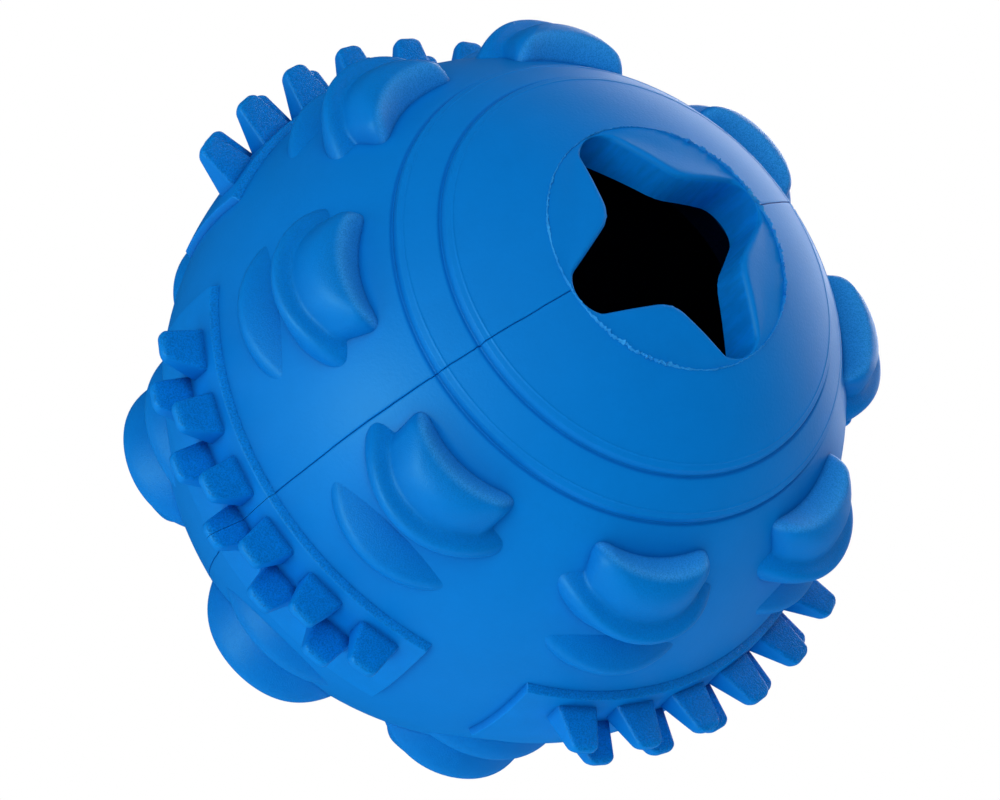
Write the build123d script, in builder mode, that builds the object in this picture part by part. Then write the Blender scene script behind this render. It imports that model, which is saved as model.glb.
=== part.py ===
from build123d import *
import os
from math import asin, atan2, cos, degrees, hypot, radians, sin, sqrt, tan

# A hollow rubber chew ball with a star-shaped mouth for treats.
# Lengths are in millimetres and angles in degrees. The origin is the centre of the ball and +Z
# is the axis of its mouth. Polar angles count from +Z, and azimuths from +X, where the bond
# line of the two half shells lies.

# Shell
ball_radius = 36.0
wall = 7.5
overrun = 1.0

# Terraced caps around both poles
terrace_rise = 0.47
inner_step_polar = 36.4
outer_step_polar = 44.2
step_slope_angle = 1.1

# Mouth and its star
mouth_radius = 13.4
star_azimuth = 4.5
arm_count = 4
arm_rounding_share = 0.209
arm_overreach = 0.3
petal_point_share = 0.537
petal_point_rounding = 0.9
petal_point_thickness = 4.8
petal_gap = 0.35
petal_relief_angle = 34.0

# Lugs, in eight places around each half of the ball
lug_count = 8
lug_azimuth = 17.3
lug_polar = 58.0
lug_root_depth = 3.0
lug_draft_angle = 8.0
crest_half_width = 6.9
crest_reach = 5.3
crest_hollow = 0.7
crest_height = 4.2
crest_slope_angle = 15.0
crest_roundness = 7.2
notch_half_width = 6.6
notch_reach = 1.7
fan_half_width = 9.0
fan_horn_reach = 1.1
fan_outer_reach = 4.6
fan_ridge_reach = 3.1
fan_height = 3.9
fan_slope_angle = 34.0
fan_roundness = 10.1

# Low toe of each lug, nearer the equator
toe_distance = 7.54
toe_half_width = 7.6
toe_horn_reach = 0.9
toe_inner_reach = 3.7
toe_inner_height = 0.3
toe_outer_reach = 2.6
toe_ridge_reach = 0.4
toe_height = 1.35
toe_roundness = 14.0

# Tooth pads around the equator
pad_count = 4
pad_azimuth = -1.35
pad_span_angle = 72.7
pad_half_height_angle = 9.5
pad_wall_angle = 0.7
pad_rise = 0.8

# Teeth on each pad, in two level rows. Their tips lean toward the mouth.
tooth_height = 5.3
tooth_base_width = 4.7
tooth_base_depth = 3.2
tooth_tip_width = 2.7
tooth_tip_depth = 1.15
tooth_tip_rounding = 0.4
tooth_lean = 1.4
tooth_pitch_angle = 10.9
tooth_azimuth = 1.5
mouth_row_level = 3.1
mouth_row_teeth = 6
far_row_level = -0.43
far_row_teeth = 5

# Radii and heights that follow from the sizes above
chamber_radius = ball_radius - wall
terrace_radius = ball_radius + terrace_rise
cap_radius = terrace_radius + terrace_rise
rim_height = sqrt(cap_radius**2 - mouth_radius**2)
rim_polar = degrees(asin(mouth_radius / cap_radius))
throat_height = sqrt(chamber_radius**2 - mouth_radius**2)
throat_polar = degrees(asin(mouth_radius / chamber_radius))
arm_rounding = arm_rounding_share * mouth_radius
petal_point_radius = petal_point_share * mouth_radius
toe_polar = lug_polar + degrees(toe_distance / ball_radius)


def on_sphere(radius, polar):
    """Point at a polar angle in the half plane of azimuth zero, as sketch coordinates."""
    return radius * sin(radians(polar)), radius * cos(radians(polar))


def tangent_plane(polar):
    """Plane that touches the ball at azimuth zero, with its Y toward the mouth."""
    x, z = on_sphere(ball_radius, polar)
    return Plane(origin=(x, 0, z), x_dir=(0, 1, 0), z_dir=(x, 0, z))


def row_places(count, level):
    """Places of a row of teeth on a pad that starts at azimuth zero."""
    middle = pad_span_angle / 2 + tooth_azimuth
    turns = [middle + (index - (count - 1) / 2) * tooth_pitch_angle for index in range(count)]
    return [Rot(0, 0, turn) * Pos(0, 0, level) for turn in turns]


# One lug: a crest with a steep wall toward the mouth, and a fan that rises behind it
lug_plane = tangent_plane(lug_polar)
lug_extrusion = lug_root_depth + crest_height + overrun
crest_plane = Plane(lug_plane * Rot(90 + crest_slope_angle, 0, 0))
crest_tilt = radians(crest_slope_angle)
crest_lift = crest_height * cos(crest_tilt) - crest_reach * sin(crest_tilt)
fan_plane = Plane(lug_plane * Rot(90 - fan_slope_angle, 0, 0))
fan_tilt = radians(fan_slope_angle)
fan_lift = fan_height * cos(fan_tilt) - fan_ridge_reach * sin(fan_tilt)

with BuildSketch(lug_plane.offset(-lug_root_depth)) as lug_outline:
    with BuildLine():
        Polyline(
            (fan_half_width, fan_horn_reach),
            (notch_half_width, notch_reach),
            (crest_half_width, crest_reach),
        )
        ThreePointArc(
            (crest_half_width, crest_reach),
            (0, crest_reach - crest_hollow),
            (-crest_half_width, crest_reach),
        )
        Polyline(
            (-crest_half_width, crest_reach),
            (-notch_half_width, notch_reach),
            (-fan_half_width, fan_horn_reach),
        )
        ThreePointArc(
            (-fan_half_width, fan_horn_reach),
            (0, -fan_outer_reach),
            (fan_half_width, fan_horn_reach),
        )
    make_face()

with BuildPart() as crest:
    extrude(lug_outline.sketch, amount=lug_extrusion, taper=lug_draft_angle)
    with BuildSketch(crest_plane):
        with Locations((0, crest_lift - crest_roundness)):
            Circle(crest_roundness)
    extrude(amount=ball_radius, both=True, mode=Mode.INTERSECT)

with BuildPart() as fan:
    extrude(lug_outline.sketch, amount=lug_extrusion, taper=lug_draft_angle)
    with BuildSketch(fan_plane):
        with Locations((0, fan_lift - fan_roundness)):
            Circle(fan_roundness)
    extrude(amount=ball_radius, both=True, mode=Mode.INTERSECT)

# Its toe is a low lens with a roof-shaped section
toe_plane = tangent_plane(toe_polar)
with BuildPart() as toe:
    with BuildSketch(toe_plane.offset(-lug_root_depth)):
        with BuildLine():
            ThreePointArc(
                (toe_half_width, toe_horn_reach),
                (0, toe_inner_reach),
                (-toe_half_width, toe_horn_reach),
            )
            ThreePointArc(
                (-toe_half_width, toe_horn_reach),
                (0, -toe_outer_reach),
                (toe_half_width, toe_horn_reach),
            )
        make_face()
    extrude(amount=lug_root_depth + toe_height + overrun)
    with BuildSketch(Plane(toe_plane * Rot(90, 0, 0))):
        with Locations((0, toe_height - toe_roundness)):
            Circle(toe_roundness)
    extrude(amount=ball_radius, both=True, mode=Mode.INTERSECT)
    with BuildSketch(Plane(toe_plane * Rot(0, 90, 0))):
        Polygon(
            (lug_root_depth, toe_inner_reach),
            (-toe_inner_height, toe_inner_reach),
            (-toe_height, -toe_ridge_reach),
            (0, -toe_outer_reach),
            (lug_root_depth, -toe_outer_reach),
            align=None,
        )
    extrude(amount=toe_half_width, both=True, mode=Mode.INTERSECT)

with BuildPart() as lug:
    add(crest.part)
    add(fan.part)
    add(toe.part)
    Sphere(ball_radius, mode=Mode.SUBTRACT)

# One tooth, a tapered block with a rounded tip, pointing along +X
with BuildPart() as tooth:
    with BuildSketch(Plane.YZ.offset(ball_radius + pad_rise / 4)):
        Rectangle(tooth_base_width, tooth_base_depth)
    with BuildSketch(Plane.YZ.offset(ball_radius + tooth_height)):
        with Locations((0, tooth_lean)):
            Rectangle(tooth_tip_width, tooth_tip_depth)
    loft()
    fillet(tooth.faces().sort_by(Axis.X)[-1].edges(), radius=tooth_tip_rounding)

# One pad, a raised band with two rows of teeth
pad_radius = ball_radius + pad_rise
pad_foot_angle = pad_half_height_angle + pad_wall_angle
with BuildPart() as pad:
    with BuildSketch(Plane.XZ):
        with BuildLine():
            seat = CenterArc((0, 0), ball_radius, -pad_foot_angle, 2 * pad_foot_angle)
            top = CenterArc((0, 0), pad_radius, -pad_half_height_angle, 2 * pad_half_height_angle)
            Line(seat @ 0, top @ 0)
            Line(seat @ 1, top @ 1)
        make_face()
    revolve(axis=Axis.Z, revolution_arc=pad_span_angle)
    with Locations(*row_places(mouth_row_teeth, mouth_row_level), *row_places(far_row_teeth, far_row_level)):
        add(tooth.part)

# Whole shell: outer skin with its terraces, bore of the mouth and hollow chamber
skin = (
    (cap_radius, rim_polar, inner_step_polar),
    (terrace_radius, inner_step_polar + step_slope_angle, outer_step_polar),
    (ball_radius, outer_step_polar + step_slope_angle, 180 - outer_step_polar - step_slope_angle),
    (terrace_radius, 180 - outer_step_polar, 180 - inner_step_polar - step_slope_angle),
    (cap_radius, 180 - inner_step_polar, 180),
)
with BuildPart() as ball:
    with BuildSketch(Plane.XZ):
        with BuildLine():
            last_point = (mouth_radius, throat_height)
            for radius, start, end in skin:
                Line(last_point, on_sphere(radius, start))
                CenterArc((0, 0), radius, 90 - start, start - end)
                last_point = on_sphere(radius, end)
            Line(last_point, (0, -chamber_radius))
            CenterArc((0, 0), chamber_radius, -90, 180 - throat_polar)
        make_face()
    revolve(axis=Axis.Z)

# Sector of the mouth between two arms of the star
arm_base = petal_point_radius / sqrt(2)
arm_centre = mouth_radius + arm_overreach - arm_rounding
arm_distance = hypot(arm_centre - arm_base, arm_base)
arm_edge_angle = atan2(arm_base, arm_centre - arm_base) - asin(arm_rounding / arm_distance)
arm_point_radius = arm_centre + arm_rounding / sin(arm_edge_angle)
petal_top = sqrt(cap_radius**2 - petal_point_radius**2)
petal_bottom = petal_top - petal_point_thickness

with BuildSketch() as star:
    with PolarLocations(0, arm_count):
        Polygon((0, 0), (arm_base, -arm_base), (arm_point_radius, 0), (arm_base, arm_base), align=None)
    tips = star.vertices().filter_by(lambda corner: hypot(corner.X, corner.Y) > mouth_radius)
    fillet(tips, radius=arm_rounding)
    points = star.vertices().sort_by(lambda corner: hypot(corner.X, corner.Y))[:arm_count]
    fillet(points, radius=petal_point_rounding)

with BuildPart() as sector:
    with BuildSketch(Plane.XZ):
        with BuildLine():
            CenterArc((0, 0), cap_radius, 90, -rim_polar)
            Polyline(
                (mouth_radius, rim_height),
                (mouth_radius, throat_height),
                (petal_point_radius, petal_bottom),
                (0, petal_bottom),
                (0, cap_radius),
            )
        make_face()
    revolve(axis=Axis.Z, revolution_arc=360 / arm_count)
    add(star.sketch)
    extrude(amount=cap_radius, mode=Mode.SUBTRACT)

# The free part of the petal ends at a cone that leaves its root room to bend inward
free_radius = mouth_radius - petal_gap
with BuildSketch(Plane.XZ) as free_section:
    Polygon(
        (0, cap_radius),
        (free_radius, cap_radius),
        (free_radius, rim_height),
        (free_radius - (rim_height - throat_height) * tan(radians(petal_relief_angle)), throat_height),
        (0, throat_height),
        align=None,
    )

with BuildPart() as petal:
    add(sector.part)
    add(free_section.sketch)
    revolve(axis=Axis.Z, mode=Mode.INTERSECT)

with BuildPart() as petal_root:
    add(sector.part)
    add(free_section.sketch)
    revolve(axis=Axis.Z, mode=Mode.SUBTRACT)

# Separate pieces: the half shells, and the tooth pads parted where the bond line crosses them
os.makedirs("parts", exist_ok=True)
for side, keep in (("left", Keep.BOTTOM), ("right", Keep.TOP)):
    with BuildPart() as half:
        add(ball.part)
        split(bisect_by=Plane.XZ, keep=keep)
    half.part.label = f"shell_half_{side}"
    export_step(half.part, f"parts/{half.part.label}.step")

pad_pieces = (
    ("front_left", 0, Keep.BOTTOM),
    ("front_right", 0, Keep.TOP),
    ("left", 1, Keep.BOTTOM),
    ("back_left", 2, Keep.BOTTOM),
    ("back_right", 2, Keep.TOP),
    ("right", 3, Keep.TOP),
)
for name, index, keep in pad_pieces:
    with BuildPart() as placed:
        with Locations(Rot(0, 0, pad_azimuth + index * 360 / pad_count - pad_span_angle / 2)):
            add(pad.part)
        split(bisect_by=Plane.XZ, keep=keep)
    placed.part.label = f"tooth_pad_{name}"
    export_step(placed.part, f"parts/{placed.part.label}.step")

# The lugs of the mouth side, and their mirror images on the far side
for index in range(lug_count):
    with BuildPart() as mouth_lug:
        with Locations(Rot(0, 0, lug_azimuth + index * 360 / lug_count)):
            add(lug.part)
    with BuildPart() as far_lug:
        mirror(mouth_lug.part, about=Plane.XY)
    for name, placed in (("mouth_lug", mouth_lug), ("far_lug", far_lug)):
        placed.part.label = f"{name}_{index + 1}"
        export_step(placed.part, f"parts/{placed.part.label}.step")

# The petals of the star and the roots that they bend on
for index in range(arm_count):
    turn = Rot(0, 0, star_azimuth + index * 360 / arm_count)
    for name, piece in (("mouth_petal", petal), ("petal_root", petal_root)):
        with BuildPart() as placed:
            with Locations(turn):
                add(piece.part)
        placed.part.label = f"{name}_{index + 1}"
        export_step(placed.part, f"parts/{placed.part.label}.step")
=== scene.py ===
import math

import bmesh
import bpy
import numpy as np
from mathutils import Matrix, Vector


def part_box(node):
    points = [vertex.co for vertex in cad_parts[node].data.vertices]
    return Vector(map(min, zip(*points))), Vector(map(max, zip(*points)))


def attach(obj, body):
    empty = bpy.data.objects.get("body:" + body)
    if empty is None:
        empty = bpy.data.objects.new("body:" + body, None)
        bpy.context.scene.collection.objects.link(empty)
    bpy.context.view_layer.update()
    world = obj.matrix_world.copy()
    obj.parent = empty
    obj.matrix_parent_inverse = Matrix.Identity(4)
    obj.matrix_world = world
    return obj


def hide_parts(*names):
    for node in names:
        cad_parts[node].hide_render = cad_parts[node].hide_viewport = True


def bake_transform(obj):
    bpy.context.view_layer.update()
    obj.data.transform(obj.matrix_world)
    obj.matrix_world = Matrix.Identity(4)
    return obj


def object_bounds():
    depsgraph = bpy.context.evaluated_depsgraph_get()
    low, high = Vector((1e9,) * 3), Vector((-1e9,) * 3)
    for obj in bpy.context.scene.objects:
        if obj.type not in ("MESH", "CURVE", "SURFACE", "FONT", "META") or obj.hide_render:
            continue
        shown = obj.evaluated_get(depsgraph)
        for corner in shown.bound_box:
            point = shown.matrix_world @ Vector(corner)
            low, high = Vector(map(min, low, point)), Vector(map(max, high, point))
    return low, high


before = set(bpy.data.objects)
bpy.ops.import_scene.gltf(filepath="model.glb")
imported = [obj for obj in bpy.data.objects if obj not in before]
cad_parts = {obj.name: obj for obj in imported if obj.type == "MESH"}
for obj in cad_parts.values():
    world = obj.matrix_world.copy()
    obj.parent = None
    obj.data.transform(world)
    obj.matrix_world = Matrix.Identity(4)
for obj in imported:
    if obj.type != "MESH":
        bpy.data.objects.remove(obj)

cad_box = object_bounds()

# A blue rubber chew ball with a star-shaped mouth. Lengths are in millimetres and angles in degrees,
# and MM turns them into Blender's metres. +Z is the axis of the mouth. Polar angles count from it,
# and azimuths from +X, where the bond line of the two half shells lies.
MM = 0.001

# Meshes: points closer than the merge distance become one, and edges sharper than these stay crisp
merge_distance = 0.002
thin_edge = 0.001
shell_crisp_angle = 50
lug_crisp_angle = 80
pad_crisp_angle = 40
petal_crisp_angle = 50
flash_crisp_angle = 70

# Ball
ball_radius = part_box("shell_half_left")[1].x / MM
cap_radius = -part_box("shell_half_left")[0].z / MM
wall = 7.5
chamber_radius = ball_radius - wall
skin_step_angle = 0.9
chamber_step_angle = 2.7
shell_turn_angle = 1.8

# Terraces around both poles, each with a fine raised line above its slope and a round groove below it
terrace_rise = (cap_radius - ball_radius) / 2
inner_step_polar = 36.4
outer_step_polar = 44.2
step_slope_angle = 1.0
step_line_offset = 1.0
step_line_angle = 0.14
step_line_height = 0.06
step_groove_offset = 0.1
step_groove_angle = 0.34
step_groove_depth = 0.2
step_sample_angle = 0.08
step_sample_reach = 1.6

# Bond line between the half shells
bond_gap = 0.035
pad_bond_gap = 0.05
bond_shoulder = 0.08
bond_lip = 0.2
bond_depth = 0.07
bond_lip_height = 0.02
bond_wander = 0.04
bond_slow_period, bond_slow_seed = 7, 3
bond_fine_period, bond_fine_seed = 2, 4
bond_fine_share = 0.6

# Mouth and petals
mouth_radius = 13.4
star_azimuth = 4.5
arm_count = 4
arm_rounding = 2.8
arm_reach = 13.2
petal_point_radius = 7.2
petal_point_softness = 0.7
petal_point_setback = 0.28
petal_point_thickness = 4.8
petal_root_thickness = 6.0
petal_edge_rounding = 0.55
petal_dish = 0.2
petal_full_dish_length = 5
petal_rounding_limit_share = 0.45
petal_top_points = 13
petal_round_points = 8
petal_wall_points = 10
petal_bottom_points = 8
arm_end_points = 22
arm_side_points = 24

# Torn flash around the mouth. Its shares say how width and height follow the slow random values.
flash_step = 0.16
flash_width = 0.34
flash_height = 0.2
flash_torn_width = 0.22
flash_torn_height = 0.35
flash_jagged_azimuths = (12, 62)
flash_torn_azimuths = (125, 235)
flash_fade_angle = 12
flash_seed = 11
flash_slow_period, flash_slow_seed = 9, 12
flash_least_width_share, flash_more_width_share = 0.6, 0.4
flash_least_height_share, flash_more_height_share = 0.5, 0.7
flash_drift = 0.04
flash_jagged_drift = 0.16
flash_torn_drift_share = 0.6
flash_peak_share = 0.6
flash_foot_depth = 0.1
flash_keel_depth = 0.3

# Lugs, as heights over the ball at places across and along each lug. A painted highlight, speckled
# by the grain, pales the wall of the crest that faces the mouth.
lug_count = 8
lug_azimuth = 17.3
lug_polar = 58.0
lug_cell = 0.16
lug_sink = 0.4
lug_skirt_depth = 0.8
lug_half_width = 9.8
lug_inner_reach = 6.2
lug_outer_reach = 11.2
crest_edge = 4.4
crest_hollow = 0.036
crest_half_width = 6.5
crest_half_width_taper = 0.02
crest_height = 5.0
crest_fall = 0.36
crest_droop = 0.055
crest_wall_share = 0.5
crest_wall_rounding = 1.0
crest_wall_power = 3
crest_dome_rounding = 4.0
crest_dome_power = 2
crest_horn_rounding = 2.0
crest_least_height = 1.6
# Painted highlight on the crest's mouth wall: where it is full, where it ends, and its share low on the
# wall
painted_light_full = 0.55
painted_light_end = 1.05
painted_light_wall_share = 0.4
fan_ridge = -1.8
fan_ridge_curve = 0.02
fan_height = 3.85
fan_half_width = 9.7
fan_droop_power = 4.1
fan_inner_slope = 1.3
fan_inner_easing = 0.0033
fan_radius = 10.4
fan_centre = 5.65
fan_wall_slope = 2.2
fan_rounding = 2.8
valley_rounding = 0.6
toe_ridge = -8.3
toe_ridge_curve = 0.03
toe_height = 2.0
toe_half_width = 8.0
toe_inner_slope = 0.62
toe_radius = 10.0
toe_centre = -0.2
toe_wall_slope = 1.3
toe_rounding = 1.4
toe_foot_rounding = 0.3

# Tooth pads
pad_count = 4
pad_azimuth = -1.35
pad_span_angle = 72.7
pad_half_height_angle = 9.5
pad_wall_angle = 0.7
pad_rise = 0.8
pad_end_slope = 4.0
pad_corner_rounding = 0.5
pad_edge_rounding = 0.16
pad_sink = 0.4
pad_turn_fine_angle, pad_turn_coarse_angle = 0.08, 0.8
pad_lift_fine_angle, pad_lift_coarse_angle = 0.09, 0.6
pad_fine_steps = 14
pad_cut_tolerance = 0.0005

# Teeth, in two level rows on each pad. Their tips lean toward the mouth.
tooth_height = 5.3
tooth_base_width = 4.7
tooth_base_depth = 3.2
tooth_tip_width = 2.9
tooth_tip_depth = 1.25
tooth_tip_rounding = 0.75
tooth_tip_width_rounding = 0.85
tooth_tip_depth_rounding = 0.5
tooth_corner = 0.45
tooth_corner_limit_share = 0.9
tooth_corner_points = 6
tooth_root_share = 0.25
tooth_side_levels = 8
tooth_tip_levels = 8
tooth_lean = 1.4
tooth_pitch_angle = 10.9
tooth_azimuth = 1.5
tooth_rows = ((3.1, 6), (-0.43, 5))

# View of the photograph
image_width = 1000
sensor_width = 36.0
camera_direction = Vector((0.61837, 0.15189, 0.77107))
camera_up = Vector((-0.33537, -0.83632, 0.43369))
camera_distance = 360.0
camera_lens = 122.9
photo_shift = (-3.5, -0.4)
near_clip = 10.0

# Shading of the rubber. A grain is its size, its depth and its strength.
blue = (0.0006, 0.187, 0.64)
deep_blue = (0.0005, 0.178, 0.61)
pale_blue = (0.035, 0.35, 0.8)
pad_blue = (0.0007, 0.21, 0.71)
# Painted shade laid into hollows and along the feet of raised parts
painted_shade_blue = (0.0003, 0.08, 0.38)
# Painted highlight on the crests' walls that face the mouth
painted_light_blue = (0.03, 0.31, 0.82)
rubber_gloss = 0.08
gloss_tint = (0.3, 1.0, 1.0, 1.0)
# How far each rubber looks for hollows when painting shade into them, and how closed a hollow must be to
# take the whole painted shade
shell_shade_reach = 1.0
lug_shade_reach = 0.8
pad_shade_reach = 1.2
shade_closed = 0.38
shade_open = 0.9
shade_samples = 8
# Painted shade: near black over the chamber's wall, out to these depths past the chamber's radius
chamber_painted_shade = (0.0002, 0.002, 0.012)
chamber_shade_start = 2.6
chamber_shade_end = 3.2
mottle_scale = 230.0
mottle_detail = 6.0
mottle_roughness = 0.65
mottle_range = (0.3, 0.7)
satin_roughness = 0.5
grained_roughness = 0.45
torn_roughness = 0.6
shell_grain = (0.3, 0.04, 0.5)
lug_grain = (0.14, 0.05, 0.8)
pad_grain = (0.17, 0.09, 1.0)
torn_grain = (0.2, 0.05, 0.8)
grain_detail = 2.0
grain_roughness = 0.5
pit_range = (0.36, 0.6)
# Grain pits, and painted shade: mostly below one, they darken the faces along the ball's axis
lug_pit_and_shade_shares = (0.86, 1.02)
pad_pit_and_shade_shares = (0.76, 1.06)
# Painted highlight, speckled by the grain
painted_light_speckles = (0.55, 1.0)
lug_facing = (0.5, 0.85)
pad_facing = (0.35, 0.7)
least_facing_share = 0.12
streak_size = 0.9
streak_scale = (1.0, 1.0, 0.2)
streak_detail = 3.0
streak_roughness = 0.6
# Streaks, and painted light: both shares are above one, so the upright walls come out lighter
streak_and_painted_light_shares = (1.2, 1.42)
streak_upright = (0.45, 0.1)

# Studio light and floor. Distances and sizes of the lamps, the card and the floor are in metres.
room_light = 0.2
lamp_distance = 0.6
lamp_size = 0.9
lamps = (
    ("front", Vector((0.5, -0.25, 0.83)), 3.25),
    ("left", Vector((0.85, -0.15, -0.5)), 2.5),
    ("below", Vector((0.486, 0.836, -0.26)), 2.65),
    ("right_low", Vector((-0.75, 0.5, -0.4)), 2.65),
    ("rim", Vector((-0.943, -0.283, 0.172)), 1.13),
)
bloom_direction = Vector((0.942, -0.180, 0.266))
bloom_size = 0.12
bloom_power = 8.5
card_direction = Vector((-0.95, -0.15, -0.12))
card_distance = 0.35
card_size = 0.35
card_power = 1.7
floor_half_size = 5.0


def rad(angle):
    return math.radians(angle)


def smooth_min(a, b, rounding):
    """The lower of two height fields, with a rounded edge where they cross."""
    blend = np.clip(rounding - np.abs(a - b), 0, None) / rounding
    return np.minimum(a, b) - blend**2 * rounding / 4


def smooth_max(a, b, rounding):
    return -smooth_min(-a, -b, rounding)


def wander(count, period, seed):
    """Smooth random values between about -1 and 1, one for each of a row of places."""
    knots = np.random.default_rng(seed).uniform(-1, 1, count // period + 2)
    return np.interp(np.arange(count) / period, np.arange(len(knots)), knots)


def new_mesh(name, points, faces, crisp_angle):
    """A mesh with its faces turned outward and only its sharp edges crisp."""
    bm = bmesh.new()
    verts = [bm.verts.new(Vector(p) * MM) for p in points]
    for face in faces:
        bm.faces.new([verts[i] for i in face])
    return finished(name, bm, crisp_angle)


def finished(name, bm, crisp_angle):
    bmesh.ops.remove_doubles(bm, verts=bm.verts, dist=merge_distance * MM)
    bmesh.ops.dissolve_degenerate(bm, edges=bm.edges, dist=thin_edge * MM)
    bmesh.ops.recalc_face_normals(bm, faces=bm.faces)
    for face in bm.faces:
        face.smooth = True
    for edge in bm.edges:
        edge.smooth = len(edge.link_faces) == 2 and edge.calc_face_angle(0) < rad(crisp_angle)
    mesh = bpy.data.meshes.new(name)
    bm.to_mesh(mesh)
    bm.free()
    return mesh


def add_piece(name, mesh, material, nodes, turn=0.0, body="ball"):
    """A piece that stands for CAD nodes. With no body it is attached to none."""
    piece = bpy.data.objects.new(name, mesh)
    piece.rotation_euler.z = rad(turn)
    bpy.context.scene.collection.objects.link(piece)
    if not mesh.materials:
        mesh.materials.append(material)
    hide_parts(*nodes)
    if body:
        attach(piece, body)
    return piece


# Half shells


def line_at(polar, centre, half_width):
    """A round bump across one polar angle."""
    return np.exp(-(((polar - centre) / half_width) ** 2))


def step_at(polar, edge):
    """Share of one terrace's rise at a polar angle, with its slope."""
    return np.clip(1 - (polar - edge) / step_slope_angle, 0, 1)


def skin_radius(polar):
    """Radius of the outer skin, with two terraces around each pole."""
    from_pole = np.minimum(polar, 180 - polar)
    radius = np.full_like(from_pole, ball_radius)
    for edge in (inner_step_polar, outer_step_polar):
        radius += terrace_rise * step_at(from_pole, edge)
        foot = edge + step_slope_angle + step_groove_offset
        radius += step_line_height * line_at(from_pole, edge - step_line_offset, step_line_angle)
        radius -= step_groove_depth * line_at(from_pole, foot, step_groove_angle)
    return radius


def skin_polars():
    """Polar angles of the skin's rows: even ones, and closer ones across each terrace's edge."""
    start = math.degrees(math.asin(mouth_radius / cap_radius))
    rows = list(np.linspace(start, 180, round((180 - start) / skin_step_angle)))
    for edge in (inner_step_polar, outer_step_polar):
        end = edge + step_slope_angle + step_sample_reach
        near = np.arange(edge - step_sample_reach, end, step_sample_angle)
        rows += list(near) + list(180 - near)
    return np.unique(np.round(rows, 3))


def shell_profile():
    """Radius and height along the shell's section, from the outer pole over the rim to the inner pole.
    The third value says whether the place is on the outer skin."""
    polars = skin_polars()[::-1]
    outer = [(r * math.sin(rad(p)), r * math.cos(rad(p)), 1) for r, p in zip(skin_radius(polars), polars)]
    throat_polar = math.degrees(math.asin(mouth_radius / chamber_radius))
    inner_polars = np.linspace(throat_polar, 180, round((180 - throat_polar) / chamber_step_angle))
    reach = chamber_radius
    inner = [(reach * math.sin(rad(p)), reach * math.cos(rad(p)), 0) for p in inner_polars]
    outer[0] = (0, -cap_radius, 1)
    inner[-1] = (0, -chamber_radius, 0)
    return outer + inner


def half_shell_mesh(name, side):
    """Half of the shell on one side of the bond line, closed by its bond face."""
    profile = shell_profile()
    rows = len(profile)
    first_turn = rad(shell_turn_angle)
    turns = np.linspace(first_turn, math.pi - first_turn, round(180 / shell_turn_angle))
    slow = wander(rows, bond_slow_period, bond_slow_seed)
    fine = wander(rows, bond_fine_period, bond_fine_seed)
    drift = bond_wander * (slow + bond_fine_share * fine)
    edge = ((bond_gap / 2, -bond_depth), (bond_shoulder, 0), (bond_lip, bond_lip_height))
    columns = []
    for sign in (1, -1):
        ends = []
        for y, lift in edge:
            column = []
            for (r, z, on_skin), shift in zip(profile, drift):
                room = r * math.sin(first_turn) / (2 * bond_lip)
                across = min(y, y * room) + side * shift * on_skin * min(room, 1)
                rise = 1 + lift * on_skin / math.hypot(r, z)
                ahead = sign * math.sqrt(max(r**2 - across**2, 0))
                column.append((ahead * rise, side * across * rise, z * rise))
            ends.append(column)
        columns.append(ends)
    middle = [[(r * math.cos(t), side * r * math.sin(t), z) for r, z, _ in profile] for t in turns]
    columns = columns[0] + middle + columns[1][::-1]
    points = [p for column in columns for p in column]
    faces = [
        (c * rows + i, c * rows + i + 1, (c + 1) * rows + i + 1, (c + 1) * rows + i)
        for c in range(len(columns) - 1)
        for i in range(rows - 1)
    ]
    last = (len(columns) - 1) * rows
    faces += [tuple(range(rows)), tuple(range(last, last + rows))]
    return new_mesh(name, points, faces, shell_crisp_angle)


# Lugs


def rounded_rise(distance, rounding, power):
    """Share of a height at a distance inside an edge: steepest at the edge, then rounding over."""
    return 1 - (1 - np.minimum(distance / rounding, 1)) ** power


def crest_at(x, y):
    """The crest: a dome with a steep hollow wall on its mouth side and two blunt horns."""
    top = crest_height - crest_fall * (crest_edge - y) - crest_droop * x**2
    from_wall = crest_edge + crest_hollow * x**2 - y
    from_end = crest_half_width - crest_half_width_taper * (crest_edge - y) - np.abs(x)
    inside = smooth_min(from_wall, from_end, crest_horn_rounding)
    steep = crest_wall_share * rounded_rise(inside, crest_wall_rounding, crest_wall_power)
    gentle = (1 - crest_wall_share) * rounded_rise(inside, crest_dome_rounding, crest_dome_power)
    return np.maximum(top, crest_least_height) * (steep + gentle)


def fan_at(x, y):
    """The fan behind the crest, which rises to a round ridge, and its outer wall."""
    ridge = fan_ridge + fan_ridge_curve * x**2
    top = fan_height * (1 - (np.abs(x) / fan_half_width) ** fan_droop_power)
    inner = top - fan_inner_slope / (1 + fan_inner_easing * x**2) * (y - ridge)
    outer = (fan_radius - np.hypot(x, y - fan_centre)) * fan_wall_slope
    return smooth_min(inner, outer, fan_rounding), outer


def toe_at(x, y):
    """The low toe nearer the equator, ramped toward its outer edge."""
    ridge = toe_ridge + toe_ridge_curve * x**2
    inner = toe_height * (1 - (x / toe_half_width) ** 2) - toe_inner_slope * (y - ridge)
    outer = (toe_radius - np.hypot(x, y - toe_centre)) * toe_wall_slope
    return smooth_min(inner, outer, toe_rounding)


def lug_at(x, y):
    fan, fan_wall = fan_at(x, y)
    crest = smooth_min(crest_at(x, y), fan_wall, fan_rounding)
    return smooth_max(smooth_max(crest, fan, valley_rounding), toe_at(x, y), toe_foot_rounding)


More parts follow.
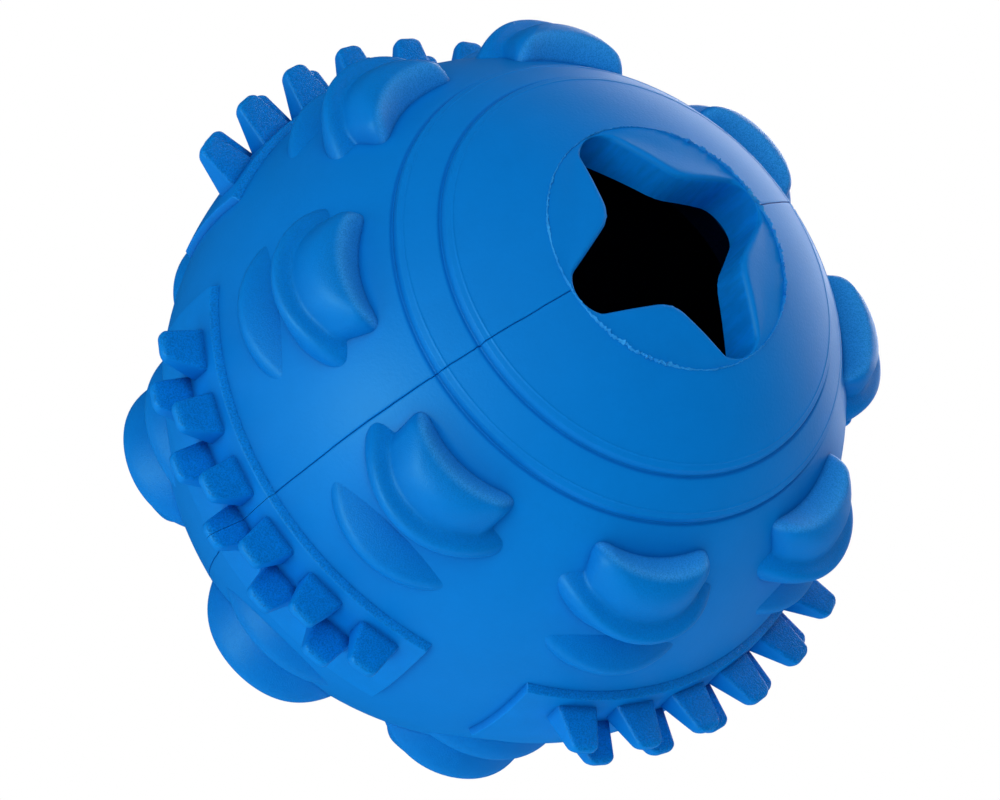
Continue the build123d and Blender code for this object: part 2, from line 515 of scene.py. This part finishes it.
def painted_light_at(x, y):
    """Share of painted highlight, speckled by the grain: some on the crest's mouth wall, most along its
    top edge, none behind.
    """
    from_wall = crest_edge + crest_hollow * x**2 - y
    on_crest = crest_at(x, y) > fan_at(x, y)[0]
    up_wall = painted_light_wall_share + (1 - painted_light_wall_share) * np.clip(from_wall / painted_light_full, 0, 1)
    behind = np.clip((painted_light_end - from_wall) / (painted_light_end - painted_light_full), 0, 1)
    return on_crest * up_wall * behind


def grid_faces(keep):
    """Faces of a grid of points, where keep says which cells stay."""
    width = keep.shape[1] + 1
    corners = [(r * width + c, (r + 1) * width + c) for r, c in np.argwhere(keep)]
    return [(low, low + 1, high + 1, high) for low, high in corners]


def lug_mesh(name, side):
    """One lug at azimuth zero, on the mouth side or mirrored to the far side."""
    across = np.arange(-lug_half_width, lug_half_width + lug_cell, lug_cell)
    along = np.arange(-lug_outer_reach, lug_inner_reach + lug_cell, lug_cell)
    x, y = np.meshgrid(across, along)
    height = lug_at(x, y)
    inside = height > -lug_sink
    keep = inside[:-1, :-1] | inside[1:, :-1] | inside[:-1, 1:] | inside[1:, 1:]
    height = np.maximum(height, -lug_skirt_depth)
    local = np.stack([x, y, np.sqrt(ball_radius**2 - x**2 - y**2)]) * (1 + height / ball_radius)
    p = rad(lug_polar)
    ahead = -math.cos(p) * local[1] + math.sin(p) * local[2]
    up = side * (math.sin(p) * local[1] + math.cos(p) * local[2])
    points = np.stack([ahead, local[0], up]).reshape(3, -1).T
    bm = bmesh.new()
    # Each point carries its share of the painted highlight
    painted_light = bm.verts.layers.float.new("painted_light")
    verts = [bm.verts.new(Vector(q) * MM) for q in points]
    for vert, share in zip(verts, painted_light_at(x, y).flat):
        vert[painted_light] = share
    for face in grid_faces(keep):
        bm.faces.new([verts[i] for i in face])
    bmesh.ops.delete(bm, geom=[v for v in bm.verts if not v.link_faces], context="VERTS")
    bmesh.ops.holes_fill(bm, edges=[e for e in bm.edges if e.is_boundary], sides=0)
    return finished(name, bm, lug_crisp_angle)


# Tooth pads


def dense_ends(half, fine, coarse):
    """Places from -half to half that lie closer together near both ends."""
    near = np.arange(0, pad_fine_steps) * fine
    middle = np.linspace(-half + near[-1], half - near[-1], max(3, round(2 * half / coarse)))
    return np.unique(np.round(np.concatenate([near - half, middle, half - near]), 5))


def pad_height_at(turn, lift):
    """Height of a pad's band over the ball, with a steep wall all round."""
    foot_angle = pad_half_height_angle + pad_wall_angle
    from_side = (foot_angle - np.abs(lift)) * pad_rise / pad_wall_angle
    from_end = (pad_span_angle / 2 - np.abs(turn)) * rad(1) * ball_radius * pad_end_slope
    edges = smooth_min(from_side, from_end, pad_corner_rounding)
    return smooth_min(edges, np.full_like(turn, pad_rise), pad_edge_rounding)


def on_ball(turn, lift, radius):
    level = math.cos(rad(lift))
    away = Vector((level * math.cos(rad(turn)), level * math.sin(rad(turn)), math.sin(rad(lift))))
    return away * radius * MM


def add_band(bm):
    """The raised band of a pad about azimuth zero."""
    turns = dense_ends(pad_span_angle / 2, pad_turn_fine_angle, pad_turn_coarse_angle)
    half_height = pad_half_height_angle + pad_wall_angle
    lifts = dense_ends(half_height, pad_lift_fine_angle, pad_lift_coarse_angle)
    turn, lift = np.meshgrid(turns, lifts)
    top = ball_radius + pad_height_at(turn, lift)
    bottom = np.full_like(turn, ball_radius - pad_sink)
    whole = grid_faces(np.ones((len(lifts) - 1, len(turns) - 1), bool))
    for radius, order in ((top, 1), (bottom, -1)):
        verts = [bm.verts.new(on_ball(t, l, r)) for t, l, r in zip(turn.flat, lift.flat, radius.flat)]
        for face in whole:
            bm.faces.new([verts[i] for i in face[::order]])
    bmesh.ops.bridge_loops(bm, edges=[e for e in bm.edges if e.is_boundary])


def rounded_rectangle(half_width, half_depth, corner):
    points = []
    for index, (sx, sy) in enumerate(((1, 1), (-1, 1), (-1, -1), (1, -1))):
        for turn in np.linspace(rad(90 * index), rad(90 * index + 90), tooth_corner_points):
            x = sx * (half_width - corner) + corner * math.cos(turn)
            points.append((x, sy * (half_depth - corner) + corner * math.sin(turn)))
    return points


def tooth_rings():
    """Cross-sections of a tooth that points along +X, from root to tip."""
    root = ball_radius + pad_rise * tooth_root_share
    tip = ball_radius + tooth_height
    levels = [(x, 0) for x in np.linspace(root, tip - tooth_tip_rounding, tooth_side_levels)]
    for turn in np.linspace(0, rad(90), tooth_tip_levels)[1:]:
        levels.append((tip - tooth_tip_rounding * (1 - math.sin(turn)), 1 - math.cos(turn)))
    rings = []
    for x, round_share in levels:
        share = (x - root) / (tip - root)
        width = tooth_base_width + (tooth_tip_width - tooth_base_width) * share
        depth = tooth_base_depth + (tooth_tip_depth - tooth_base_depth) * share
        half_width = width / 2 - tooth_tip_width_rounding * round_share
        half_depth = depth / 2 - tooth_tip_depth_rounding * round_share
        corner = min(tooth_corner, tooth_corner_limit_share * half_depth)
        ring = rounded_rectangle(half_width, half_depth, corner)
        rings.append([(x, y, z + tooth_lean * share) for y, z in ring])
    return rings


def add_tooth(bm, turn, level):
    """A tapered tooth with a rounded tip, at an azimuth and a height over the equator."""
    place = Matrix.Rotation(rad(turn), 3, "Z")
    rise = Vector((0, 0, level))
    rings = [[bm.verts.new(place @ (Vector(p) + rise) * MM) for p in ring] for ring in tooth_rings()]
    count = len(rings[0])
    for low, high in zip(rings, rings[1:]):
        for i in range(count):
            j = (i + 1) % count
            bm.faces.new((low[i], low[j], high[j], high[i]))
    bm.faces.new(rings[0][::-1])
    bm.faces.new(rings[-1])


def pad_mesh(name, azimuth, side):
    """A pad with its teeth. A side of 1 or -1 keeps only what lies left or right of the bond line."""
    bm = bmesh.new()
    add_band(bm)
    for level, count in tooth_rows:
        for index in range(count):
            add_tooth(bm, tooth_azimuth + (index - (count - 1) / 2) * tooth_pitch_angle, level)
    bmesh.ops.rotate(bm, verts=bm.verts, matrix=Matrix.Rotation(rad(azimuth), 3, "Z"))
    if side:
        bmesh.ops.bisect_plane(
            bm,
            geom=bm.verts[:] + bm.edges[:] + bm.faces[:],
            dist=pad_cut_tolerance * MM,
            plane_co=(0, side * pad_bond_gap * MM / 2, 0),
            plane_no=(0, -side, 0),
            clear_outer=True,
        )
        bmesh.ops.holes_fill(bm, edges=[e for e in bm.edges if e.is_boundary], sides=0)
    return finished(name, bm, pad_crisp_angle)


# Petals of the mouth


def arm_edge():
    """Free edge of half a petal from the end of an arm to its point, along and across the petal."""
    base = petal_point_radius / math.sqrt(2)
    centre = arm_reach - arm_rounding
    distance = math.hypot(centre - base, base)
    edge_angle = math.atan2(base, centre - base) - math.asin(arm_rounding / distance)
    turns = np.linspace(0, math.pi / 2 - edge_angle, arm_end_points)
    path = [(centre + arm_rounding * math.cos(t), arm_rounding * math.sin(t)) for t in turns]
    x, y = path[-1]
    path += [(x + (base - x) * s, y + (base - y) * s) for s in np.linspace(0, 1, arm_side_points)[1:]]
    half = math.sqrt(0.5)
    return [petal_point_rounded((x + y) * half, (y - x) * half) for x, y in path]


def petal_point_rounded(along, across):
    """Sets the petal's free edge back near its point, which rounds the point."""
    return along + petal_point_setback * math.exp(-((across / petal_point_softness) ** 2)), across


def petal_section(root, edge):
    """Closed section of a petal from the mouth's rim to the free edge, over its top and back under it."""
    root, edge = Vector(root), Vector(edge)
    length = (edge - root).length
    ahead = (edge - root) / length
    rounding = min(petal_edge_rounding, petal_rounding_limit_share * length)
    rim_z = math.sqrt(cap_radius**2 - mouth_radius**2)
    root_z = rim_z - petal_root_thickness
    point_z = math.sqrt(cap_radius**2 - petal_point_radius**2) - petal_point_thickness

    def top_at(distance):
        r = (root + ahead * distance).length
        dish = petal_dish * min(length / petal_full_dish_length, 1)
        return math.sqrt(cap_radius**2 - r**2) - dish * math.sin(math.pi * distance / length) ** 2

    def bottom_at(distance):
        r = (root + ahead * distance).length
        share = min(max((mouth_radius - r) / (mouth_radius - petal_point_radius), 0), 1)
        return root_z + (point_z - root_z) * share

    section = [(d, top_at(d)) for d in np.linspace(0, length - rounding, petal_top_points)]
    shoulder = section[-1][1]
    for turn in np.linspace(0, rad(90), petal_round_points)[1:]:
        drop = rounding * (1 - math.cos(turn))
        section.append((length - rounding * (1 - math.sin(turn)), shoulder - drop))
    wall_levels = np.linspace(section[-1][1], bottom_at(length), petal_wall_points)
    section += [(length, z) for z in wall_levels[1:]]
    section += [(d, bottom_at(d)) for d in np.linspace(length, 0, petal_bottom_points)[1:]]
    return [(*(root + ahead * d), z) for d, z in section]


def petal_mesh(name, azimuth):
    half = arm_edge()
    edge = half + [(u, -v) for u, v in half[-2::-1]]
    steps = np.concatenate([[0], np.cumsum([math.dist(a, b) for a, b in zip(edge, edge[1:])])])
    start = math.atan2(edge[0][1], edge[0][0])
    loops = []
    for place, step in zip(edge, steps):
        turn = start * (1 - 2 * step / steps[-1])
        loops.append(petal_section((mouth_radius * math.cos(turn), mouth_radius * math.sin(turn)), place))
    spin = Matrix.Rotation(rad(azimuth), 3, "Z")
    points = [spin @ Vector(p) for loop in loops for p in loop]
    rows = len(loops[0])
    faces = []
    for column in range(len(loops) - 1):
        for row in range(rows):
            a = column * rows + row
            b = column * rows + (row + 1) % rows
            faces.append((a, b, b + rows, a + rows))
    faces.append(tuple(range(rows))[::-1])
    faces.append(tuple(range((len(loops) - 1) * rows, len(loops) * rows)))
    return new_mesh(name, points, faces, petal_crisp_angle)


def between(azimuth, limits):
    """One inside a range of azimuths, fading to zero near its ends."""
    low, high = limits
    return float(np.clip(min(azimuth - low, high - azimuth) / flash_fade_angle, 0, 1))


def flash_mesh(name):
    """A thin torn ridge of rubber around the mouth, ragged where it tore most."""
    count = round(2 * math.pi * mouth_radius / flash_step)
    rough = np.random.default_rng(flash_seed).uniform(0, 1, (3, count))
    slow = np.abs(wander(count, flash_slow_period, flash_slow_seed))
    points = []
    for index in range(count):
        azimuth = 360 * index / count
        jagged = between(azimuth, flash_jagged_azimuths)
        torn = between(azimuth, flash_torn_azimuths)
        tear = max(jagged, torn) * rough[0, index]
        width_share = flash_least_width_share + flash_more_width_share * slow[index] ** 2
        width = flash_width * width_share + flash_torn_width * tear
        height_share = flash_least_height_share + flash_more_height_share * slow[index]
        height = flash_height * height_share + flash_torn_height * tear
        drift = flash_drift + flash_jagged_drift * max(jagged, flash_torn_drift_share * torn)
        centre = mouth_radius + drift * (rough[1, index] - 0.5)
        low, high = centre - width / 2, centre + width / 2
        peak = centre + width * (rough[2, index] - 0.5) * flash_peak_share
        foot = -flash_foot_depth
        ring = ((low, foot), (peak, height), (high, foot), (centre, -flash_keel_depth))
        c, s = math.cos(rad(azimuth)), math.sin(rad(azimuth))
        points += [(r * c, r * s, math.sqrt(cap_radius**2 - r**2) + lift) for r, lift in ring]
    sides = len(ring)
    faces = []
    for index in range(count):
        here, after = sides * index, sides * ((index + 1) % count)
        for k in range(sides):
            m = (k + 1) % sides
            faces.append((here + k, here + m, after + m, after + k))
    return new_mesh(name, points, faces, flash_crisp_angle)


# Materials


def add_node(tree, kind, **values):
    node = tree.nodes.new(kind)
    for name, value in values.items():
        if hasattr(node, name):
            setattr(node, name, value)
        else:
            node.inputs[name.replace("_", " ").title()].default_value = value
    return node


def two_stop_ramp(tree, low, high, low_colour, high_colour):
    ramp = add_node(tree, "ShaderNodeValToRGB")
    stops = zip(ramp.color_ramp.elements, (low, high), (low_colour, high_colour))
    for stop, place, colour in stops:
        stop.position = place
        stop.color = (*colour, 1)
    return ramp


def rubber_base(name, roughness):
    """A new material, its node tree, its shader and its place in the object."""
    material = bpy.data.materials.new(name)
    material.use_nodes = True
    tree = material.node_tree
    shader = tree.nodes["Principled BSDF"]
    shader.inputs["Roughness"].default_value = roughness
    shader.inputs["Specular IOR Level"].default_value = rubber_gloss
    shader.inputs["Specular Tint"].default_value = gloss_tint
    return material, tree, shader, add_node(tree, "ShaderNodeTexCoord")


def mottled(tree, place, shade, base):
    """Slightly uneven colour of the rubber."""
    cloud = add_node(tree, "ShaderNodeTexNoise", scale=mottle_scale)
    cloud.inputs["Detail"].default_value = mottle_detail
    cloud.inputs["Roughness"].default_value = mottle_roughness
    tint = two_stop_ramp(tree, *mottle_range, shade, base)
    tree.links.new(place.outputs["Object"], cloud.inputs["Vector"])
    tree.links.new(cloud.outputs["Fac"], tint.inputs["Fac"])
    return tint


def with_painted_shade(tree, tint, reach):
    """A colour darkened with painted shade in hollows up to a reach wide, and along the feet of what
    stands up.
    """
    hollow = add_node(tree, "ShaderNodeAmbientOcclusion", samples=shade_samples)
    hollow.inputs["Distance"].default_value = reach * MM
    open_share = add_node(tree, "ShaderNodeMapRange", from_min=shade_closed, from_max=shade_open)
    mix = add_node(tree, "ShaderNodeMix", data_type="RGBA")
    mix.inputs["A"].default_value = (*painted_shade_blue, 1)
    tree.links.new(hollow.outputs["AO"], open_share.inputs["Value"])
    tree.links.new(open_share.outputs["Result"], mix.inputs["Factor"])
    tree.links.new(tint, mix.inputs["B"])
    return mix.outputs["Result"]


def pit_shares(tree, grain, shares):
    """A low share in the pits of the grain and a high one on it."""
    pits = add_node(tree, "ShaderNodeMapRange", from_min=pit_range[0], from_max=pit_range[1])
    pits.inputs["To Min"].default_value = shares[0]
    pits.inputs["To Max"].default_value = shares[1]
    tree.links.new(grain.outputs["Fac"], pits.inputs["Value"])
    return pits.outputs["Result"]


def with_pits(tree, tint, grain, amount, shares):
    """A colour times the shares of the grain's pits, where the amount lets it."""
    mix = add_node(tree, "ShaderNodeMix", data_type="RGBA", blend_type="MULTIPLY")
    tree.links.new(amount, mix.inputs["Factor"])
    tree.links.new(tint, mix.inputs["A"])
    tree.links.new(pit_shares(tree, grain, shares), mix.inputs["B"])
    return mix.outputs["Result"]


def with_painted_light(tree, tint, grain):
    """A colour that pales with painted highlight where the points carry it, most on the grain."""
    share = add_node(tree, "ShaderNodeAttribute", attribute_name="painted_light")
    amount = add_node(tree, "ShaderNodeMath", operation="MULTIPLY")
    mix = add_node(tree, "ShaderNodeMix", data_type="RGBA")
    mix.inputs["B"].default_value = (*painted_light_blue, 1)
    tree.links.new(share.outputs["Fac"], amount.inputs[0])
    tree.links.new(pit_shares(tree, grain, painted_light_speckles), amount.inputs[1])
    tree.links.new(amount.outputs["Value"], mix.inputs["Factor"])
    tree.links.new(tint, mix.inputs["A"])
    return mix.outputs["Result"]


def facing_axis(tree, place, limits):
    """A share that grows with how far the surface faces along the ball's axis."""
    facing = add_node(tree, "ShaderNodeSeparateXYZ")
    size = add_node(tree, "ShaderNodeMath", operation="ABSOLUTE")
    amount = add_node(tree, "ShaderNodeMapRange", from_min=limits[0], from_max=limits[1])
    amount.inputs["To Min"].default_value = least_facing_share
    tree.links.new(place.outputs["Normal"], facing.inputs["Vector"])
    tree.links.new(facing.outputs["Z"], size.inputs[0])
    tree.links.new(size.outputs["Value"], amount.inputs["Value"])
    return amount.outputs["Result"]


def grained(tree, place, size, depth, strength):
    """Fine moulded grain of about a size and a depth, as its pattern and as a bump."""
    grain = add_node(tree, "ShaderNodeTexNoise", scale=1 / (size * MM), detail=grain_detail)
    grain.inputs["Roughness"].default_value = grain_roughness
    bump = add_node(tree, "ShaderNodeBump", strength=strength, distance=depth * MM)
    tree.links.new(place.outputs["Object"], grain.inputs["Vector"])
    tree.links.new(grain.outputs["Fac"], bump.inputs["Height"])
    return grain, bump


def smooth_rubber(name, base, shade):
    """Satin rubber of the half shells, with painted shade in its hollows and near-black painted shade
    over the chamber's wall.
    """
    material, tree, shader, place = rubber_base(name, satin_roughness)
    tint = with_painted_shade(tree, mottled(tree, place, shade, base).outputs["Color"], shell_shade_reach)
    # Painted shade: near black on the chamber's wall, turning into the rubber's colour a little further
    # out
    reach = add_node(tree, "ShaderNodeVectorMath", operation="LENGTH")
    inner = (chamber_radius + chamber_shade_start) * MM
    outer = (chamber_radius + chamber_shade_end) * MM
    depth = add_node(tree, "ShaderNodeMapRange", from_min=inner, from_max=outer)
    mix = add_node(tree, "ShaderNodeMix", data_type="RGBA")
    mix.inputs["A"].default_value = (*chamber_painted_shade, 1)
    _, bump = grained(tree, place, *shell_grain)
    tree.links.new(place.outputs["Object"], reach.inputs[0])
    tree.links.new(reach.outputs["Value"], depth.inputs["Value"])
    tree.links.new(depth.outputs["Result"], mix.inputs["Factor"])
    tree.links.new(tint, mix.inputs["B"])
    tree.links.new(mix.outputs["Result"], shader.inputs["Base Color"])
    tree.links.new(bump.outputs["Normal"], shader.inputs["Normal"])
    return material


def petal_rubber(name, base, shade):
    """Rubber of the petals, with streaks down the walls where the core of the mould was drawn, and
    painted light that makes the upright walls lighter all over.
    """
    material, tree, shader, place = rubber_base(name, satin_roughness)
    tint = mottled(tree, place, shade, base).outputs["Color"]
    stretch = add_node(tree, "ShaderNodeMapping", scale=streak_scale)
    streaks = add_node(tree, "ShaderNodeTexNoise", scale=1 / (streak_size * MM), detail=streak_detail)
    streaks.inputs["Roughness"].default_value = streak_roughness
    level = add_node(tree, "ShaderNodeSeparateXYZ")
    start, full = streak_upright
    upright = add_node(tree, "ShaderNodeMapRange", from_min=start, from_max=full)
    tree.links.new(place.outputs["Object"], stretch.inputs["Vector"])
    tree.links.new(stretch.outputs["Vector"], streaks.inputs["Vector"])
    tree.links.new(place.outputs["Normal"], level.inputs["Vector"])
    tree.links.new(level.outputs["Z"], upright.inputs["Value"])
    # Streaks, and painted light that lightens the upright walls
    tint = with_pits(tree, tint, streaks, upright.outputs["Result"], streak_and_painted_light_shares)
    _, bump = grained(tree, place, *shell_grain)
    tree.links.new(tint, shader.inputs["Base Color"])
    tree.links.new(bump.outputs["Normal"], shader.inputs["Normal"])
    return material


def lug_rubber(name, base, shade):
    """Rubber of the lugs, with a fine even grain, a painted highlight on the crests' walls that face the
    mouth, and painted shade in hollows and on faces along the ball's axis.
    """
    material, tree, shader, place = rubber_base(name, grained_roughness)
    grain, bump = grained(tree, place, *lug_grain)
    tint = with_painted_light(tree, mottled(tree, place, shade, base).outputs["Color"], grain)
    tint = with_painted_shade(tree, tint, lug_shade_reach)
    # Grain pits, and painted shade on the faces along the ball's axis
    tint = with_pits(tree, tint, grain, facing_axis(tree, place, lug_facing), lug_pit_and_shade_shares)
    tree.links.new(tint, shader.inputs["Base Color"])
    tree.links.new(bump.outputs["Normal"], shader.inputs["Normal"])
    return material


def grained_rubber(name, base, shade):
    """Rubber of the tooth pads: painted shade in hollows, and coarse spark-eroded grain on what faces
    along the ball's axis, whose pits also darken those faces as painted shade.
    """
    material, tree, shader, place = rubber_base(name, grained_roughness)
    tint = with_painted_shade(tree, mottled(tree, place, shade, base).outputs["Color"], pad_shade_reach)
    amount = facing_axis(tree, place, pad_facing)
    grain, bump = grained(tree, place, *pad_grain)
    # Grain pits, and painted shade on the faces along the ball's axis
    tint = with_pits(tree, tint, grain, amount, pad_pit_and_shade_shares)
    tree.links.new(amount, bump.inputs["Strength"])
    tree.links.new(tint, shader.inputs["Base Color"])
    tree.links.new(bump.outputs["Normal"], shader.inputs["Normal"])
    return material


def flash_rubber(name, base, shade):
    """Torn rubber, paler where it is stretched thin."""
    material, tree, shader, place = rubber_base(name, torn_roughness)
    tint = mottled(tree, place, shade, base)
    _, bump = grained(tree, place, *torn_grain)
    tree.links.new(tint.outputs["Color"], shader.inputs["Base Color"])
    tree.links.new(bump.outputs["Normal"], shader.inputs["Normal"])
    return material


# Stage


def floor_material():
    """Evenly lit white paper."""
    material = bpy.data.materials.new("studio_floor")
    material.use_nodes = True
    shader = material.node_tree.nodes["Principled BSDF"]
    shader.inputs["Base Color"].default_value = (0, 0, 0, 1)
    shader.inputs["Specular IOR Level"].default_value = 0.0
    shader.inputs["Emission Color"].default_value = (1, 1, 1, 1)
    shader.inputs["Emission Strength"].default_value = 1.0
    return material


def add_floor():
    half = floor_half_size
    z = cad_box[0][2]
    corners = [(-half, -half, z), (half, -half, z), (half, half, z), (-half, half, z)]
    mesh = bpy.data.meshes.new("studio_floor")
    mesh.from_pydata(corners, [], [(0, 1, 2, 3)])
    mesh.materials.append(floor_material())
    floor = bpy.data.objects.new("studio_floor", mesh)
    floor.visible_diffuse = False
    floor.visible_glossy = False
    floor.visible_shadow = False
    bpy.context.scene.collection.objects.link(floor)


def add_lamp(name, direction, distance, size, power, glossy, diffuse):
    """A round soft light that shines at the ball from a direction."""
    light = bpy.data.lights.new(name, "AREA")
    light.energy = power
    light.shape = "DISK"
    light.size = size
    lamp = bpy.data.objects.new(name, light)
    lamp.location = direction.normalized() * distance
    lamp.rotation_euler = (-lamp.location).to_track_quat("-Z", "Y").to_euler()
    lamp.visible_camera = False
    lamp.visible_glossy = glossy
    lamp.visible_diffuse = diffuse
    bpy.context.scene.collection.objects.link(lamp)


def add_world():
    """An even glow of the room."""
    world = bpy.data.worlds.new("studio")
    world.use_nodes = True
    background = world.node_tree.nodes["Background"]
    background.inputs["Color"].default_value = (1, 1, 1, 1)
    background.inputs["Strength"].default_value = room_light
    bpy.context.scene.world = world
    world.cycles_visibility.glossy = False


def add_camera():
    data = bpy.data.cameras.new("camera")
    data.lens = camera_lens
    data.sensor_width = sensor_width
    data.shift_x = photo_shift[0] / image_width
    data.shift_y = photo_shift[1] / image_width
    data.clip_start = near_clip * MM
    camera = bpy.data.objects.new("camera", data)
    away = camera_direction.normalized()
    up = (camera_up - away * camera_up.dot(away)).normalized()
    turn = Matrix((up.cross(away), up, away)).transposed().to_4x4()
    camera.matrix_world = Matrix.Translation(away * camera_distance * MM) @ turn
    bpy.context.scene.collection.objects.link(camera)
    bpy.context.scene.camera = camera


shell_rubber = smooth_rubber("shell_rubber", blue, deep_blue)
textured_rubber = grained_rubber("textured_rubber", pad_blue, blue)
rubber_of_lugs = lug_rubber("lug_rubber", blue, deep_blue)
rubber_of_petals = petal_rubber("petal_rubber", blue, deep_blue)
torn_rubber = flash_rubber("torn_rubber", pale_blue, blue)

for name, side in (("left", 1), ("right", -1)):
    mesh = half_shell_mesh(f"shell_skin_{name}", side)
    add_piece(f"shell_skin_{name}", mesh, shell_rubber, [f"shell_half_{name}"])

for group, side in (("mouth", 1), ("far", -1)):
    mesh = lug_mesh(f"{group}_lug_skin", side)
    for index in range(lug_count):
        turn = lug_azimuth + index * 360 / lug_count
        nodes = [f"{group}_lug_{index + 1}"]
        add_piece(f"{group}_lug_skin_{index + 1}", mesh, rubber_of_lugs, nodes, turn)

pads = (
    ("front_left", 0, 1),
    ("front_right", 0, -1),
    ("left", 1, 0),
    ("back_left", 2, 1),
    ("back_right", 2, -1),
    ("right", 3, 0),
)
for name, index, side in pads:
    mesh = pad_mesh(f"tooth_pad_skin_{name}", pad_azimuth + index * 360 / pad_count, side)
    add_piece(f"tooth_pad_skin_{name}", mesh, textured_rubber, [f"tooth_pad_{name}"])

for index in range(arm_count):
    azimuth = star_azimuth + (index + 0.5) * 360 / arm_count
    mesh = petal_mesh(f"petal_skin_{index + 1}", azimuth)
    nodes = [f"mouth_petal_{index + 1}", f"petal_root_{index + 1}"]
    piece = add_piece(f"petal_skin_{index + 1}", mesh, rubber_of_petals, nodes, body=None)
    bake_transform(piece)

add_piece("mouth_flash", flash_mesh("mouth_flash"), torn_rubber, [])

add_floor()
add_camera()
add_world()
for name, direction, power in lamps:
    add_lamp(name, direction, lamp_distance, lamp_size, power, False, True)
add_lamp("bloom", bloom_direction, lamp_distance, bloom_size, bloom_power, True, False)
add_lamp("back_card", card_direction, card_distance, card_size, card_power, True, False)
bpy.context.scene.view_settings.view_transform = "Standard"
